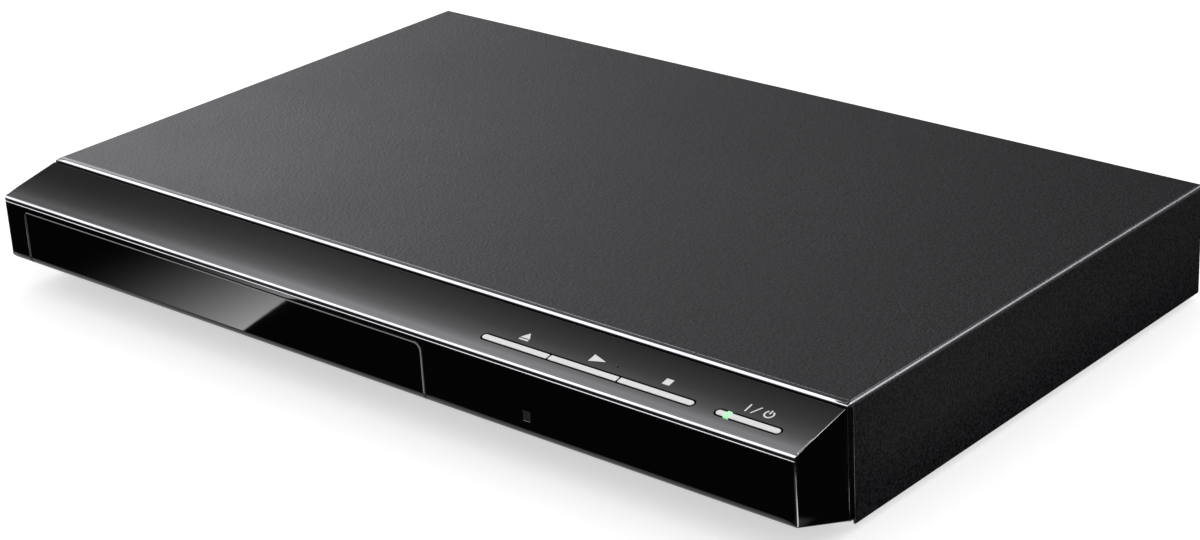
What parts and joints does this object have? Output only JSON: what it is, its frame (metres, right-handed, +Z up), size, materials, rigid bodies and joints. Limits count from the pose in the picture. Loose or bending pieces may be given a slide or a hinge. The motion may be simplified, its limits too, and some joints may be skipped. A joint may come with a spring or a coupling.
{
  "type": "disc player",
  "caption": "Slim black disc player with a motor-driven tray, sloped front with bar buttons, and a working loader, lift, clamp and pickup inside.",
  "frame": {"origin": "on the standing surface, under the middle of the object's box", "axes": "+X to the right seen from the front, +Y to the back, +Z up; the front faces -Y"},
  "size_m": [0.32, 0.209, 0.0385],
  "materials": {
    "black_sheet": "fine textured satin paint",
    "zinc_sheet": "zinc-plated sheet",
    "rear_sheet": "satin black paint",
    "rubber": "matt rubber",
    "gloss_black": "polished black moulding",
    "dark_window": "infra-red window",
    "tray_black": "fine matt moulding",
    "silver_cap": "silver-painted cap",
    "light_pipe": "clear light pipe, lit green",
    "board_brown": "paper laminate board",
    "board_green": "green solder mask",
    "part_black": "moulded component",
    "loader_black": "moulded frame",
    "white_plastic": "natural acetal",
    "steel": "bright steel",
    "magnet": "sintered magnet",
    "traverse_grey": "glass-filled moulding",
    "lens": "coated lens in its holder",
    "coil_yellow": "winding tape and core",
    "can": "sleeved can",
    "alu": "extruded",
    "ribbon": "flat cable",
    "insert_red": "coloured insulator",
    "gold": "plated shell"
  },
  "bodies": {
    "housing": {"top_cover": "black_sheet", "base_pan": "zinc_sheet", "standoffs": "steel", "rear_panel": "rear_sheet", "feet": "rubber", "front_bezel": "gloss_black", "ir_window": "dark_window", "front_board": "board_brown", "tact_switches": "part_black", "ir_receiver": "part_black", "status_led": "light_pipe", "loader_frame": "loader_black", "clamper_bridge": "steel", "loading_motor": "steel", "drive_belt": "rubber", "main_board": "board_green", "main_chips": "part_black", "hdmi_socket": "gold", "rca_sockets": "gold", "rca_inserts": "insert_red", "power_board": "board_brown", "power_transformer": "coil_yellow", "capacitors": "can", "heatsink": "alu", "mains_inlet": "rubber", "cover_screws": "steel", "base_screws": "steel", "loader_screws": "steel", "board_screws": "steel", "loader_ribbon": "ribbon", "front_ribbon": "ribbon"},
    "tray": {"disc_tray": "tray_black", "tray_front": "gloss_black"},
    "drive_gear": {"drive_gear": "white_plastic"},
    "pulley_gear": {"pulley_gear": "white_plastic"},
    "motor_pulley": {"motor_pulley": "white_plastic"},
    "cam_slider": {"cam_slider": "white_plastic"},
    "traverse": {"traverse_frame": "traverse_grey", "spindle_motor": "steel", "guide_rods": "steel", "sled_motor": "steel"},
    "turntable": {"turntable": "part_black"},
    "lead_screw": {"lead_screw": "steel"},
    "pickup": {"pickup_body": "alu"},
    "objective_lens": {"objective_lens": "lens"},
    "clamper": {"clamper_puck": "white_plastic", "clamper_plate": "steel", "clamper_magnet": "magnet"},
    "eject_button": {"eject_button": "silver_cap"},
    "play_button": {"play_button": "silver_cap"},
    "stop_button": {"stop_button": "silver_cap"},
    "power_button": {"power_button": "silver_cap", "led_light_pipe": "light_pipe"}
  },
  "joints": [
    {"name": "tray_slide", "type": "slide", "parent": "housing", "child": "tray", "axis": [0, -1, 0], "range_m": [0, 0.134]},
    {"name": "drive_gear_spin", "type": "hinge", "parent": "housing", "child": "drive_gear", "pos_m": [-0.01635, -0.082, 0.0173], "axis": [0, 0, 1], "range_deg": [-960, 0]},
    {"name": "pulley_gear_spin", "type": "hinge", "parent": "housing", "child": "pulley_gear", "pos_m": [-0.0361, -0.07887, 0.0173], "axis": [0, 0, 1], "range_deg": [0, 2240]},
    {"name": "motor_pulley_spin", "type": "hinge", "parent": "housing", "child": "motor_pulley", "pos_m": [-0.02135, -0.0605, 0.0186], "axis": [0, 0, 1], "range_deg": [0, 6345]},
    {"name": "traverse_lift", "type": "hinge", "parent": "housing", "child": "traverse", "pos_m": [-0.06135, 0.05, 0.0175], "axis": [-1, 0, 0], "range_deg": [0, 5.5]},
    {"name": "cam_slide", "type": "slide", "parent": "housing", "child": "cam_slider", "axis": [-1, 0, 0], "range_m": [0, 0.018]},
    {"name": "turntable_spin", "type": "hinge", "parent": "traverse", "child": "turntable", "pos_m": [-0.06135, -0.03035, 0.0173], "axis": [0, -0.0958, 0.9954], "continuous": true},
    {"name": "pickup_slide", "type": "slide", "parent": "traverse", "child": "pickup", "axis": [0, 0.9954, 0.0958], "range_m": [0, 0.034]},
    {"name": "lead_screw_spin", "type": "hinge", "parent": "traverse", "child": "lead_screw", "pos_m": [-0.09435, 0.00531, 0.01209], "axis": [0, 0.9954, 0.0958], "range_deg": [0, 4080]},
    {"name": "lens_focus", "type": "slide", "parent": "pickup", "child": "objective_lens", "axis": [0, -0.0958, 0.9954], "range_m": [-0.0004, 0.0004], "stiffness_N_per_m": 30},
    {"name": "clamper_spin", "type": "hinge", "parent": "housing", "child": "clamper", "pos_m": [-0.06135, -0.03, 0.029], "axis": [0, 0, 1], "continuous": true},
    {"name": "eject_press", "type": "slide", "parent": "housing", "child": "eject_button", "axis": [0, 0.2038, -0.979], "range_m": [0, 0.0005], "stiffness_N_per_m": 2500},
    {"name": "play_press", "type": "slide", "parent": "housing", "child": "play_button", "axis": [0, 0.2038, -0.979], "range_m": [0, 0.0005], "stiffness_N_per_m": 2500},
    {"name": "stop_press", "type": "slide", "parent": "housing", "child": "stop_button", "axis": [0, 0.2038, -0.979], "range_m": [0, 0.0005], "stiffness_N_per_m": 2500},
    {"name": "power_press", "type": "slide", "parent": "housing", "child": "power_button", "axis": [0, 0.2038, -0.979], "range_m": [0, 0.0005], "stiffness_N_per_m": 2500}
  ],
  "couplings": [
    {"joint": "drive_gear_spin", "follows": "tray_slide", "rad_per_m": -125},
    {"joint": "pulley_gear_spin", "follows": "tray_slide", "rad_per_m": 291.67},
    {"joint": "motor_pulley_spin", "follows": "tray_slide", "rad_per_m": 826.39},
    {"joint": "cam_slide", "follows": "traverse_lift", "m_per_rad": 0.18751},
    {"joint": "lead_screw_spin", "follows": "pickup_slide", "rad_per_m": 2094.4}
  ]
}
